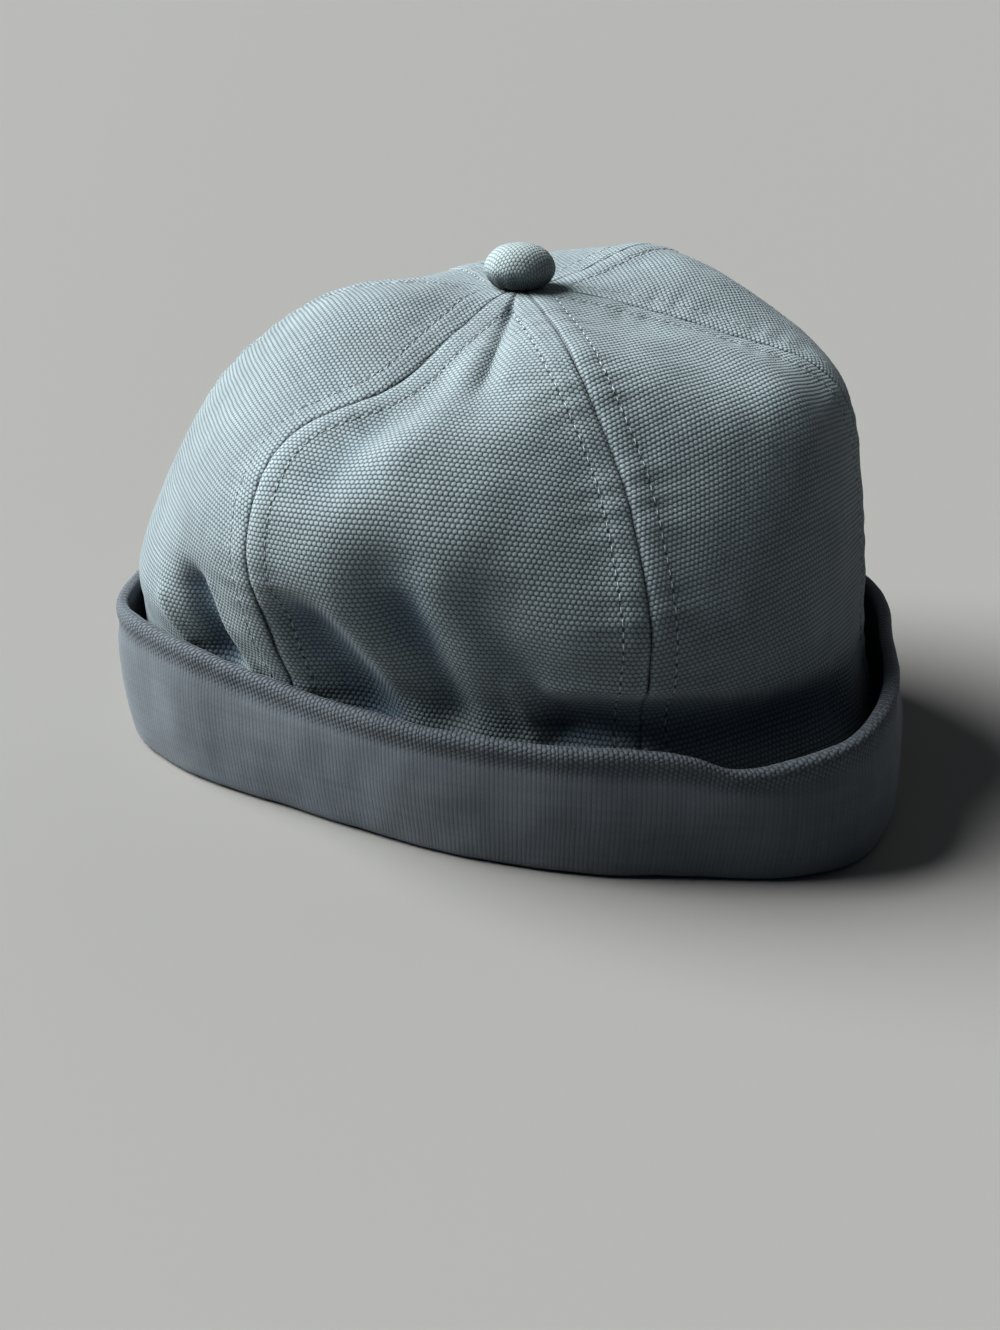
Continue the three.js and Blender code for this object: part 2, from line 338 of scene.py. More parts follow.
def paint_hollow_shade(tree, colour):
    """Paints shade into a colour where the piece's folds lie deep, darker and bluer the deeper they lie."""
    level = ramp(tree, attribute(tree, "fold_out"), *FOLD_FADE)
    kept = blend(tree, level, HOLLOW_PAINTED_SHADE, PLAIN_TINT)
    hollow_shaded = tree.nodes.new("ShaderNodeVectorMath")
    hollow_shaded.operation = "MULTIPLY"
    tree.links.new(colour, hollow_shaded.inputs[0])
    tree.links.new(kept, hollow_shaded.inputs[1])
    return hollow_shaded.outputs["Vector"]


# %% Ribs of the cuff
ROLL_END = (3.0 * MM, 8 * MM)  # below the cuff's lip, where the roll passes into the flat face
RIB_ON_FACE = 0.5
DEPTH_ON_FACE = 0.34  # of the weave's tone
RELIEF_ON_FACE = 0.2  # of its bump


def upright_ribs(tree, cloth, weave, deep):
    """Turns the rows upright and melts them into ribs below the roll. Gives the gaps' tone and relief."""
    quarter = tree.nodes.new("ShaderNodeMapping")
    quarter.inputs["Rotation"].default_value = (0, 0, math.pi / 2)
    tree.links.new(cloth, quarter.inputs["Vector"])
    tree.links.new(quarter.outputs["Vector"], weave.inputs["Cloth"])
    lip_away = attribute(tree, "lip_away")
    tree.links.new(ramp(tree, lip_away, *ROLL_END, 0.0, RIB_ON_FACE), weave.inputs["Rib"])
    shares = [ramp(tree, lip_away, *ROLL_END, 1.0, share) for share in (DEPTH_ON_FACE, RELIEF_ON_FACE)]
    return [math_node(tree, "MULTIPLY", deep, share) for share in shares]


# %% Canvas material
# painted shade on the button's underside, fading out between these shares of its height
FOOT_SHADE = (0.14, 0.52)  # shares of the button's height, between which its dark underside ends
FOOT_PAINTED_SHADE_TONE = 0.3
MOTTLE_SCALE = 28.0
MOTTLE_RANGE = (0.3, 0.7)  # of the noise
MOTTLE_TONES = (0.92, 1.08)
ROUGHNESS = (0.98, 0.8)  # in the gaps, and on the grains
BUMP_STRENGTH = 0.7
BUMP_TALL = 0.45 * MM


def canvas(name, dark, light, pitch=1.0, depth=1.0, sewn=False, folded=False, domed=False):
    """A canvas finish from two colours: dark in the gaps of the weave, partly the threads' own colour and
    partly painted shade between the grains, and light on the grains.
    """
    material = bpy.data.materials.new(name)
    material.use_nodes = True
    tree = material.node_tree
    shader = tree.nodes["Principled BSDF"]
    shader.inputs["Specular IOR Level"].default_value = 0.25
    shader.inputs["Sheen Weight"].default_value = 0.12
    shader.inputs["Sheen Roughness"].default_value = 0.5
    shader.inputs["Sheen Tint"].default_value = (0.85, 0.93, 1.0, 1)

    pattern = tree.nodes.new("ShaderNodeUVMap")
    pattern.uv_map = "cloth"
    cloth = pattern.outputs["UV"]
    weave = tree.nodes.new("ShaderNodeGroup")
    weave.node_tree = WEAVE
    weave.inputs["Grain"].default_value = GRAIN_PITCH * pitch
    weave.inputs["Row"].default_value = ROW_PITCH * pitch
    deep = math_node(tree, "MULTIPLY_ADD", weave.outputs["Height"], -1.0, 1.0)
    if folded:
        deep, relief = upright_ribs(tree, cloth, weave, deep)
    else:
        tree.links.new(cloth, weave.inputs["Cloth"])
        weave.inputs["Rib"].default_value = 0.0
        relief = deep
    grains = math_node(tree, "MULTIPLY_ADD", deep, -depth, 1.0)
    height = math_node(tree, "MULTIPLY_ADD", relief, -depth, 1.0)

    patches = noise(tree, cloth, MOTTLE_SCALE, 3.0).outputs["Fac"]
    mottle = ramp(tree, patches, *MOTTLE_RANGE, *MOTTLE_TONES)
    tone = math_node(tree, "MULTIPLY", weave.outputs["Tone"], mottle)
    if sewn:
        tone, height = seam_wear_and_shade(tree, tone, height)
    if domed:
        # painted shade on the button's underside
        foot = ramp(tree, attribute(tree, "dome_up"), *FOOT_SHADE, FOOT_PAINTED_SHADE_TONE, 1.0)
        tone = math_node(tree, "MULTIPLY", tone, foot)

    # the gaps' dark colour is partly the threads' own and partly painted shade between the grains
    toned = tree.nodes.new("ShaderNodeVectorMath")
    toned.operation = "SCALE"
    tree.links.new(blend(tree, grains, dark, light), toned.inputs["Vector"])
    tree.links.new(tone, toned.inputs["Scale"])
    colour = toned.outputs["Vector"]
    if sewn:
        # painted shade, darker and bluer, in the hollows of the folds
        colour = paint_hollow_shade(tree, colour)
    tree.links.new(colour, shader.inputs["Base Color"])
    tree.links.new(ramp(tree, grains, 0.0, 1.0, *ROUGHNESS), shader.inputs["Roughness"])

    bump = tree.nodes.new("ShaderNodeBump")
    bump.inputs["Strength"].default_value = BUMP_STRENGTH
    bump.inputs["Distance"].default_value = BUMP_TALL
    tree.links.new(height, bump.inputs["Height"])
    tree.links.new(bump.outputs["Normal"], shader.inputs["Normal"])
    return material


CROWN_CANVAS = canvas("crown_canvas", (0.062, 0.078, 0.091), (0.264, 0.313, 0.329), sewn=True)
CUFF_CANVAS = canvas("cuff_canvas", (0.036, 0.042, 0.052), (0.114, 0.13, 0.147), folded=True)
BUTTON_CANVAS = canvas(
    "button_canvas", (0.06, 0.078, 0.09), (0.305, 0.358, 0.364), pitch=0.85, depth=0.75, domed=True
)
print("finishes", [m.name for m in bpy.data.materials if m.name.endswith("_canvas")])

# %% [markdown]
# ## Crown panels
# Each panel is a wedge of canvas, wide at the hem and pointed under the button. The solid has two faces
# one cloth apart; only its outer face is kept as a thin sheet, because a sheet can be laid out flat like
# a sewing pattern before it gets its thickness back. A cloth simulation could drape the wedges, but the
# cap's dents are already in the solids, so smoothing and a few moved points follow the real one better.

# %% Copy a solid and pair its triangles
MERGE = 0.01 * MM
LAYOUT_SHARE = 1.0  # how much the grid's own layout counts when triangles are paired


def merged_copy(node, name):
    """A new object with a solid's shape: its loose triangles are merged and paired back into quads."""
    piece = bpy.data.objects.new(name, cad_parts[node].data.copy())
    bpy.context.scene.collection.objects.link(piece)
    alone(piece)
    bpy.ops.object.mode_set(mode="EDIT")
    bpy.ops.mesh.select_all(action="SELECT")
    bpy.ops.mesh.remove_doubles(threshold=MERGE)
    bpy.ops.mesh.tris_convert_to_quads(
        face_threshold=math.pi, shape_threshold=math.pi, topology_influence=LAYOUT_SHARE
    )
    bpy.ops.mesh.customdata_custom_splitnormals_clear()
    bpy.ops.object.mode_set(mode="OBJECT")
    return piece


def finish_with(piece, kind, **settings):
    """Adds one modifier, sets it up and applies it."""
    alone(piece)
    modifier = piece.modifiers.new(kind.lower(), kind)
    for name, value in settings.items():
        setattr(modifier, name, value)
    bpy.ops.object.modifier_apply(modifier=modifier.name)


def points_of(piece):
    """The piece's points as an array, a row for each."""
    points = np.empty(len(piece.data.vertices) * 3)
    piece.data.vertices.foreach_get("co", points)
    return points.reshape(-1, 3)


def normals_of(piece):
    """The outward direction at each point."""
    normals = np.empty(len(piece.data.vertices) * 3)
    piece.data.vertices.foreach_get("normal", normals)
    return normals.reshape(-1, 3)


def move_points(piece, points):
    """Writes the points back."""
    piece.data.vertices.foreach_set("co", np.asarray(points, dtype=np.float32).ravel())
    piece.data.update()


# %% Keep the outer face as a sheet
HOLLOW = Vector((AXIS.x, AXIS.y, 30 * MM))  # a place inside the crown
FACING_OUT = 0.45  # the cloth's edges and its inner face look outwards less than this


def outer_sheet(node, name):
    """The outer face of a panel's solid, as one thin sheet of quads."""
    piece = merged_copy(node, name)
    bpy.context.tool_settings.mesh_select_mode = (False, False, True)
    bpy.ops.object.mode_set(mode="EDIT")
    bpy.ops.mesh.select_all(action="DESELECT")
    bpy.ops.object.mode_set(mode="OBJECT")
    for face in piece.data.polygons:
        face.select = face.normal.dot((face.center - HOLLOW).normalized()) < FACING_OUT
    bpy.ops.object.mode_set(mode="EDIT")
    bpy.ops.mesh.delete(type="FACE")
    bpy.ops.object.mode_set(mode="OBJECT")
    return piece


# %% Lay a sheet out flat
def corners_of(piece):
    """The point that each face corner sits on."""
    corners = np.empty(len(piece.data.loops), dtype=np.int32)
    piece.data.loops.foreach_get("vertex_index", corners)
    return corners


def flat_points(piece):
    """Each point's place on the piece's flat pattern."""
    places = np.empty(len(piece.data.loops) * 2, dtype=np.float32)
    piece.data.uv_layers["cloth"].uv.foreach_get("vector", places)
    flat = np.zeros((len(piece.data.vertices), 2))
    flat[corners_of(piece)] = places.reshape(-1, 2)
    return flat


def fresh_pattern(piece):
    """Gives the piece one empty flat pattern."""
    for layer in list(piece.data.uv_layers):
        piece.data.uv_layers.remove(layer)
    piece.data.uv_layers.new(name="cloth")


def write_corners(piece, places):
    """Writes a flat place for each face corner."""
    piece.data.uv_layers["cloth"].uv.foreach_set("vector", np.asarray(places, dtype=np.float32).ravel())


def write_flat(piece, flat):
    """Writes each point's flat place to the face corners that sit on it."""
    write_corners(piece, flat[corners_of(piece)])


def triangles_of(piece):
    """The piece's faces as triangles of point numbers."""
    piece.data.calc_loop_triangles()
    triangles = np.empty(len(piece.data.loop_triangles) * 3, dtype=np.int32)
    piece.data.loop_triangles.foreach_get("vertices", triangles)
    return triangles.reshape(-1, 3)


def area_of(points, triangles):
    """The summed area of triangles, flat or in space."""
    solid = np.zeros((len(points), 3))
    solid[:, : points.shape[1]] = points
    a, b, c = (solid[triangles[:, k]] for k in range(3))
    return np.linalg.norm(np.cross(b - a, c - a), axis=1).sum() / 2


def out_from_axis(points):
    """Each point's distance from the button's axis."""
    return np.hypot(points[:, 0] - AXIS.x, points[:, 1] - AXIS.y)


EDGE_BAND = 0.6 * MM  # points this close to the lowest or innermost one are on the hem or the tip


def hem_and_tip(points):
    """Which points are on the panel's hem, and which on its tip."""
    out = out_from_axis(points)
    return points[:, 2] < points[:, 2].min() + EDGE_BAND, out < out.min() + EDGE_BAND


def lay_flat(piece):
    """Unwraps the sheet to real size: u across from its middle line, v up from the hem."""
    alone(piece)
    fresh_pattern(piece)
    bpy.ops.object.mode_set(mode="EDIT")
    bpy.ops.mesh.select_all(action="SELECT")
    bpy.ops.uv.unwrap(method="MINIMUM_STRETCH", margin=0)
    bpy.ops.object.mode_set(mode="OBJECT")
    points = points_of(piece)
    flat = flat_points(piece)
    triangles = triangles_of(piece)
    hem, tip = hem_and_tip(points)
    upward = flat[tip].mean(axis=0) - flat[hem].mean(axis=0)
    upward /= np.linalg.norm(upward)
    upright = np.array([[upward[1], upward[0]], [-upward[0], upward[1]]])  # turns the tip straight above
    turned = (flat - flat[hem].mean(axis=0)) @ upright
    write_flat(piece, turned * math.sqrt(area_of(points, triangles) / area_of(flat, triangles)))


# %% [markdown]
# ## Seams and creases
# A sewn seam shows in relief: the cloth dips into the joint, the turned-back allowance lifts it for
# six or seven millimetres on each side, and the row of stitches pulls it down again and puckers it. A
# normal map could fake this, but the seams show on the outline too, so the points themselves are moved
# along the cloth's normal by formulas of their distance from the seam.

# %% Distances on the flat pattern
def line_distance(places, line):
    """How far each flat place is from a line, and how far along the line its nearest spot lies."""
    nearest = np.full(len(places), np.inf)
    along = np.zeros(len(places))
    before = 0.0
    for start, end in zip(line[:-1], line[1:]):
        step = end - start
        length = np.linalg.norm(step)
        share = np.clip((places - start) @ step / length**2, 0, 1)
        gap = np.linalg.norm(places - start - share[:, None] * step, axis=1)
        closer = gap < nearest
        nearest[closer] = gap[closer]
        along[closer] = before + share[closer] * length
        before += length
    return nearest, along


def rim_points(piece):
    """The points on the sheet's free edges, which belong to one face only."""
    used = np.empty(len(piece.data.loops), dtype=np.int32)
    piece.data.loops.foreach_get("edge_index", used)
    ends = np.empty(len(piece.data.edges) * 2, dtype=np.int32)
    piece.data.edges.foreach_get("vertices", ends)
    single = np.bincount(used, minlength=len(piece.data.edges)) == 1
    return np.unique(ends.reshape(-1, 2)[single])


def seam_marks(piece):
    """Where each point lies between the panel's seams, its hem and its tip, measured on the flat pattern."""
    points = points_of(piece)
    flat = flat_points(piece)
    hem, tip = hem_and_tip(points)
    rim = rim_points(piece)
    turn = np.arctan2(points[:, 1] - AXIS.y, points[:, 0] - AXIS.x)
    middle = points.mean(axis=0)
    turn -= math.atan2(middle[1] - AXIS.y, middle[0] - AXIS.x)
    turn = (turn + math.pi) % (2 * math.pi) - math.pi
    seam = rim[~hem[rim] & ~tip[rim]]
    left, right = (part[np.argsort(flat[part, 1])] for part in (seam[turn[seam] < 0], seam[turn[seam] > 0]))
    foot = rim[hem[rim]]
    foot = foot[np.argsort(flat[foot, 0])]
    lines = {"left": flat[left], "right": flat[right]}
    gap_left, along_left = line_distance(flat, lines["left"])
    gap_right, along_right = line_distance(flat, lines["right"])
    gap_foot, _ = line_distance(flat, flat[foot])
    gap_tip = np.linalg.norm(flat - flat[tip].mean(axis=0), axis=1)
    nearer = gap_left < gap_right
    return {
        "flat": flat,
        "lines": lines,
        "away": np.minimum(gap_left, gap_right),
        "along": np.where(nearer, along_left, along_right),
        "side": np.where(nearer, -1, 1),
        "across": (gap_left - gap_right) / (gap_left + gap_right),
        "rise": gap_foot / (gap_foot + gap_tip),
        "tip_away": gap_tip,
    }


# %% Relief of the seams
SEAM_DIP = 0.5 * MM
SEAM_DIP_WIDE = 0.7 * MM
ALLOWANCE_RAISE = 0.55 * MM
ALLOWANCE_WIDE = 7.0 * MM
ALLOWANCE_STEP = 0.5 * MM
STITCH_DIP = 0.32 * MM
STITCH_DIP_WIDE = 1.1 * MM
PUCKER = 0.13 * MM
PUCKER_WAVE = 9 * MM
PUCKER_WANDER = 31 * MM  # length of the slow wave that makes the puckers uneven
PUCKER_DRIFT = 1.7  # radians by which it shifts them
PUCKER_WIDE = 7 * MM
PUCKER_STILL = 0.25  # share of the way from the panel's middle line to the seam, where puckers fade out
TIP_FADE = 16 * MM
DIP_FADE = 55 * MM  # the joint closes up towards the button
DIP_LEFT = 0.25  # share of the dip that is left there


def hump(distance, wide):
    """A soft bell of a distance: 1 in the middle, fading over its width."""
    return np.exp(-((distance / wide) ** 2))


def seam_relief(marks):
    """How far the seams lift or sink each point of a panel."""
    away = marks["away"]
    along = marks["along"]
    plateau = 1 / (1 + np.exp((away - ALLOWANCE_WIDE) / ALLOWANCE_STEP))
    wander = np.sin(2 * math.pi * along / PUCKER_WANDER)
    pucker = np.sin(2 * math.pi * along / PUCKER_WAVE + PUCKER_DRIFT * wander)
    pucker *= hump(away - STITCH_IN, PUCKER_WIDE)
    pucker *= np.clip(np.abs(marks["across"]) / PUCKER_STILL, 0, 1)
    sewn = ALLOWANCE_RAISE * plateau + PUCKER * pucker - STITCH_DIP * hump(away - STITCH_IN, STITCH_DIP_WIDE)
    fade = np.clip(marks["tip_away"] / TIP_FADE, 0, 1)
    dip = SEAM_DIP * np.clip(marks["tip_away"] / DIP_FADE, DIP_LEFT, 1)
    return sewn * fade - dip * hump(away, SEAM_DIP_WIDE)


# %% Bring neighbouring panels together
JOIN_REACH = 0.17 * MM  # the solids stand a hair apart, and their cloth meets halfway
JOIN_WIDE = 1.5 * MM


def joined(points, marks):
    """Turns the points beside each seam about the button's axis, until the panel meets its neighbour."""
    out = np.maximum(out_from_axis(points), TIP_FADE)
    turn = marks["side"] * JOIN_REACH * hump(marks["away"], JOIN_WIDE) / out
    x = points[:, 0] - AXIS.x
    y = points[:, 1] - AXIS.y
    met = points.copy()
    met[:, 0] = AXIS.x + x * np.cos(turn) - y * np.sin(turn)
    met[:, 1] = AXIS.y + x * np.sin(turn) + y * np.cos(turn)
    return met


# %% Creases of the panels
# Each crease follows a line of places on a panel: a place is its share across between the seams (-1 to 1)
# and its share of the way up from the hem to the tip.
CREASE_START = 0.5  # share of TIP_FADE from the tip, where the creases begin


def crease(wide, out, *line):
    """One crease: its width and its height in millimetres, and the places that it runs through."""
    return {"wide": wide * MM, "out": out * MM, "line": line}


CREASES = {
    "crown_right": [
        crease(4.5, 0.5, (-0.15, 0.9), (-0.25, 0.75)),  # two ridges beside the gather
        crease(5, 0.5, (0.35, 0.9), (0.3, 0.75)),
        crease(6, 0.9, (-0.32, 0.8), (-0.26, 0.7), (-0.27, 0.62), (-0.28, 0.57)),  # long ridge
        crease(6, -1.0, (-0.6, 0.62), (-0.6, 0.52)),  # hollow beside the back seam
        crease(9, -1.5, (-0.21, 0.4), (-0.16, 0.33)),  # low dent, soft at its top
        crease(5, -1.7, (-0.19, 0.35), (-0.12, 0.28), (-0.02, 0.2)),  # and narrow at its foot
        crease(7, -1.4, (0.22, 0.38), (0.38, 0.25)),  # its second hollow
        crease(9, -3.2, (-0.74, 0.29), (-0.52, 0.17)),  # tuck beside the back seam
        crease(22, 1.6, (1.0, 0.72), (1.0, 0.42)),  # the front seam stands proud
        crease(4, 0.4, (-0.5, 0.346), (-0.34, 0.23)),  # ridge between tuck and dent
        crease(3.2, 1.3, (0.34, 0.24), (0.44, 0.17)),  # short ridge below the second hollow
        crease(3.5, 1.3, (0.55, 0.25), (0.8, 0.262), (1.0, 0.258)),  # overhang
        crease(7, -2.8, (0.6, 0.18), (0.8, 0.2), (1.0, 0.2)),  # and the tuck below it
    ],
    "crown_front_right": [
        crease(3.5, 1.3, (-1.0, 0.258), (-0.35, 0.25), (0.16, 0.228)),  # the overhang goes on
        crease(7, -2.8, (-1.0, 0.2), (-0.35, 0.19), (0.2, 0.17)),
        crease(22, 1.6, (-1.0, 0.72), (-1.0, 0.42)),  # the other side of the proud seam
    ],
    "crown_back_right": [
        crease(5.5, -3.0, (0.44, 0.29), (0.5, 0.19)),  # pocket
        crease(3.2, 1.0, (0.57, 0.31), (0.75, 0.18)),  # and a ridge on each side of it
        crease(2.6, 0.9, (0.15, 0.26), (0.28, 0.2)),
    ],
}


def crease_relief(node, marks):
    """How far a panel's own creases move each point."""
    moved = np.zeros(len(marks["away"]))
    for fold in CREASES.get(node, []):
        places = []
        for across, rise in fold["line"]:
            apart = np.hypot(marks["across"] - across, marks["rise"] - rise)
            places.append(marks["flat"][np.argmin(apart)])
        gap, _ = line_distance(marks["flat"], np.array(places))
        moved += fold["out"] * hump(gap, fold["wide"])
    return moved * np.clip(marks["tip_away"] / TIP_FADE - CREASE_START, 0, 1)


# %% Make the panels
SMOOTH_LEVELS = 3
CLOTH = 1.2 * MM
RUMPLE = 0.9 * MM
RUMPLE_SCALE = 16 * MM
EDGE_ROUND = 0.3 * MM
SMOOTH_ANGLE = math.radians(60)
rumple = bpy.data.textures.new("canvas_rumple", "CLOUDS")
rumple.noise_scale = RUMPLE_SCALE
rumple.noise_depth = 1


def carry(piece, name, values):
    """Stores a number for each point in the mesh, for the shader to read."""
    store = piece.data.attributes.new(name, "FLOAT", "POINT")
    store.data.foreach_set("value", np.asarray(values, dtype=np.float32))


def sewn_panel(node):
    """A panel as a sheet with its seams and creases, and the marks that its stitches follow."""
    piece = outer_sheet(node, node.replace("crown", "panel"))
    lay_flat(piece)
    finish_with(
        piece,
        "SUBSURF",
        levels=SMOOTH_LEVELS,
        render_levels=SMOOTH_LEVELS,
        boundary_smooth="PRESERVE_CORNERS",
    )
    finish_with(piece, "DISPLACE", texture=rumple, strength=RUMPLE, mid_level=0.5)
    marks = seam_marks(piece)
    folds = crease_relief(node, marks)
    relief = seam_relief(marks) + folds
    move_points(piece, joined(points_of(piece) + normals_of(piece) * relief[:, None], marks))
    carry(piece, "seam_away", marks["away"])
    carry(piece, "seam_along", marks["along"])
    # the depth of the folds, which the shader reads to paint shade into the hollows
    carry(piece, "fold_out", folds)
    return piece, marks


def thicken(piece, marks):
    """Gives the sheet its cloth, twice as thick at the turned-back allowances, and rounds its edges."""
    hem_up = points_of(piece)[:, 2].min()
    double = piece.vertex_groups.new(name="allowance")
    turned_back = (marks["away"] < ALLOWANCE_WIDE) & (marks["tip_away"] > TIP_FADE)  # trimmed at the points
    for number in np.flatnonzero(turned_back).tolist():
        double.add([number], 1.0, "REPLACE")
    finish_with(
        piece,
        "SOLIDIFY",
        thickness=2 * CLOTH,
        offset=-1,
        vertex_group="allowance",
        thickness_vertex_group=0.5,
    )
    finish_with(piece, "BEVEL", width=EDGE_ROUND, segments=2, limit_method="ANGLE", angle_limit=SMOOTH_ANGLE)
    points = points_of(piece)
    points[:, 2] = np.maximum(points[:, 2], hem_up)  # no cloth reaches below the hem
    move_points(piece, points)
    alone(piece)
    bpy.ops.object.shade_smooth_by_angle(angle=SMOOTH_ANGLE)


# %% [markdown]
# ## Stitches
# A row of lock stitches runs along each side of every seam. One stitch is modelled as a short bowed
# thread whose ends go down into the cloth, and copies of it are laid along the row. A curve with a dash
# pattern would be quicker, but real threads catch the light one by one.

# %% Model one stitch
THREAD = 0.27 * MM
THREAD_SIDES = 6
THREAD_CUTS = 4
THREAD_BOW = 0.34 * MM  # how far its ends go down
THREAD_LIFT = 0.1 * MM  # and how far its middle stands up
bpy.ops.object.select_all(action="DESELECT")
bpy.ops.mesh.primitive_cylinder_add(
    vertices=THREAD_SIDES, radius=THREAD / 2, depth=1, rotation=(0, math.pi / 2, 0)
)
stitch = bpy.context.object
stitch.name = "one_stitch"
bpy.ops.object.transform_apply(location=True, rotation=True, scale=True)
bpy.context.tool_settings.mesh_select_mode = (False, True, False)
bpy.ops.object.mode_set(mode="EDIT")
bpy.ops.mesh.select_all(action="DESELECT")
bpy.ops.object.mode_set(mode="OBJECT")
for edge in stitch.data.edges:
    first, last = (stitch.data.vertices[k].co for k in edge.vertices)
    edge.select = abs(first.x - last.x) > 0.5  # the long edges
bpy.ops.object.mode_set(mode="EDIT")
bpy.ops.mesh.subdivide(number_cuts=THREAD_CUTS)
bpy.ops.object.mode_set(mode="OBJECT")
STITCH_POINTS = points_of(stitch)
STITCH_POINTS[:, 2] += THREAD_LIFT - THREAD_BOW * (2 * STITCH_POINTS[:, 0]) ** 2
STITCH_FACES = [list(face.vertices) for face in stitch.data.polygons]
bpy.data.objects.remove(stitch)
print("one stitch", len(STITCH_FACES), "faces")

# %% Lay the rows of stitches
STITCH_LONG = 1.9 * MM
TANGENT_REACH = 4 * MM  # the seam's direction is taken over this length on both sides


def spot_on(line, along):
    """A flat place at a distance along a line."""
    steps = np.linalg.norm(np.diff(line, axis=0), axis=1)
    reach = np.concatenate([[0], np.cumsum(steps)])
    return np.array([np.interp(along, reach, line[:, k]) for k in range(2)])


def row_places(line, other, inward):
    """The flat places where each stitch of a row goes down and comes up, until the panel gets too narrow."""
    long = np.linalg.norm(np.diff(line, axis=0), axis=1).sum()
    row = []
    for number in range(int(long / STITCH_PITCH)):
        middle = (number + 0.5) * STITCH_PITCH
        tangent = spot_on(line, middle + TANGENT_REACH) - spot_on(line, middle - TANGENT_REACH)
        tangent /= np.linalg.norm(tangent)
        beside = inward * np.array([tangent[1], -tangent[0]]) * STITCH_IN
        ends = [spot_on(line, middle + half * STITCH_LONG) + beside for half in (-0.5, 0.5)]
        gap, _ = line_distance(np.array(ends), other)
        if gap.min() > STITCH_IN:
            row.append(ends)
    return row


def stitch_rows(name, piece, marks):
    """All stitches of a panel, laid on its sheet, as one piece."""
    points = points_of(piece)
    normals = normals_of(piece)
    triangles = triangles_of(piece)
    flat = np.column_stack([marks["flat"], np.zeros(len(points))])
    tree = BVHTree.FromPolygons(flat.tolist(), triangles.tolist())

    def lift(place, values):
        """The values of the sheet's points, at a flat place between them."""
        spot, _, number, _ = tree.find_nearest(Vector((*place, 0)))
        corners = triangles[number]
        from_flat = [Vector(flat[k]) for k in corners]
        to_space = [Vector(values[k]) for k in corners]
        return np.array(barycentric_transform(spot, *from_flat, *to_space))

    left, right = marks["lines"]["left"], marks["lines"]["right"]
    laid = []
    for ends in row_places(left, right, 1) + row_places(right, left, -1):
        down, up = (lift(end, points) for end in ends)
        long = up - down
        normal = lift((ends[0] + ends[1]) / 2, normals)
        side = np.cross(normal, long)
        side /= np.linalg.norm(side)
        top = np.cross(long, side)
        top /= np.linalg.norm(top)
        middle = lift((ends[0] + ends[1]) / 2, points)
        laid.append(middle + STITCH_POINTS @ np.array([long, side, top]))
    count = len(STITCH_POINTS)
    faces = [[k + count * number for k in face] for number in range(len(laid)) for face in STITCH_FACES]
    mesh = bpy.data.meshes.new(name)
    mesh.from_pydata(np.concatenate(laid).tolist(), [], faces)
    threads = bpy.data.objects.new(name, mesh)
    bpy.context.scene.collection.objects.link(threads)
    alone(threads)
    bpy.ops.object.shade_smooth()
    return threads


# %% Thread finish
def thread_finish():
    """Polyester sewing thread, paler than the canvas, with a tint that drifts from stitch to stitch."""
    material = bpy.data.materials.new("sewing_thread")
    material.use_nodes = True
    tree = material.node_tree
    shader = tree.nodes["Principled BSDF"]
    place = tree.nodes.new("ShaderNodeTexCoord")
    tint = noise(tree, place.outputs["Object"], 300.0)
    colour = blend(tree, tint.outputs["Fac"], (0.2, 0.235, 0.255), (0.48, 0.525, 0.545))
    tree.links.new(colour, shader.inputs["Base Color"])
    shader.inputs["Roughness"].default_value = 0.42
    return material


THREAD_FINISH = thread_finish()

# %% Sew the crown
for node in sorted(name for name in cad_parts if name.startswith("crown")):
    panel, marks = sewn_panel(node)
    threads = stitch_rows(panel.name.replace("panel", "stitches"), panel, marks)
    flat_area = area_of(marks["flat"], triangles_of(panel))
    thicken(panel, marks)
    wear(panel, CROWN_CANVAS)
    wear(threads, THREAD_FINISH)
    for piece in (panel, threads):
        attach(piece, "root")
    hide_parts(node)

# %% [markdown]
# ## Cuff
# The cuff is a band of the same canvas, folded double and turned up round the foot, so its upper edge is
# a soft roll and its lower edge is flat where the cap rests. The solid already has the band's section all
# round. A curve with that section could be swept along the foot, but a smoothed copy keeps every corner
# and dip of the solid, and the roll, the waves and the flat foot are then moved points.

# %% Smooth the cuff and roll its lip
LIP_HALF = 1.4 * MM  # half of the roll's thickness
LIP_SWELL = 0.7 * MM
LIP_SWELL_WIDE = 2.2 * MM
LIP_GROOVE = 0.3 * MM
LIP_GROOVE_DOWN = 5.5 * MM
LIP_GROOVE_WIDE = 1.8 * MM
TURN_BINS = 720  # steps of angle round the cap
BIN_TURNS = (np.arange(TURN_BINS) + 0.5) / TURN_BINS * 2 * math.pi


def turns_of(points):
    """Each point's angle about the button's axis, from 0 to a full turn."""
    return np.arctan2(points[:, 1] - AXIS.y, points[:, 0] - AXIS.x) % (2 * math.pi)


def lip_heights(points):
    """The height of the cuff's lip above the floor at each point's angle."""
    turn = turns_of(points)
    bins = (turn / (2 * math.pi) * TURN_BINS).astype(int) % TURN_BINS
    highest = np.zeros(TURN_BINS)
    np.maximum.at(highest, bins, points[:, 2])
    return np.interp(turn, BIN_TURNS, highest, period=2 * math.pi)


cuff = merged_copy("cuff", "cuff_band")
finish_with(cuff, "SUBSURF", levels=SMOOTH_LEVELS, render_levels=SMOOTH_LEVELS)
cuff_points = points_of(cuff)
below_lip = lip_heights(cuff_points) - cuff_points[:, 2]
swell = LIP_SWELL * hump(below_lip - LIP_HALF, LIP_SWELL_WIDE)
swell -= LIP_GROOVE * hump(below_lip - LIP_GROOVE_DOWN, LIP_GROOVE_WIDE)
cuff_points += normals_of(cuff) * swell[:, None]
print("cuff", len(cuff.data.polygons), "faces,", round(cuff_points[:, 2].max() / MM, 1), "mm tall")

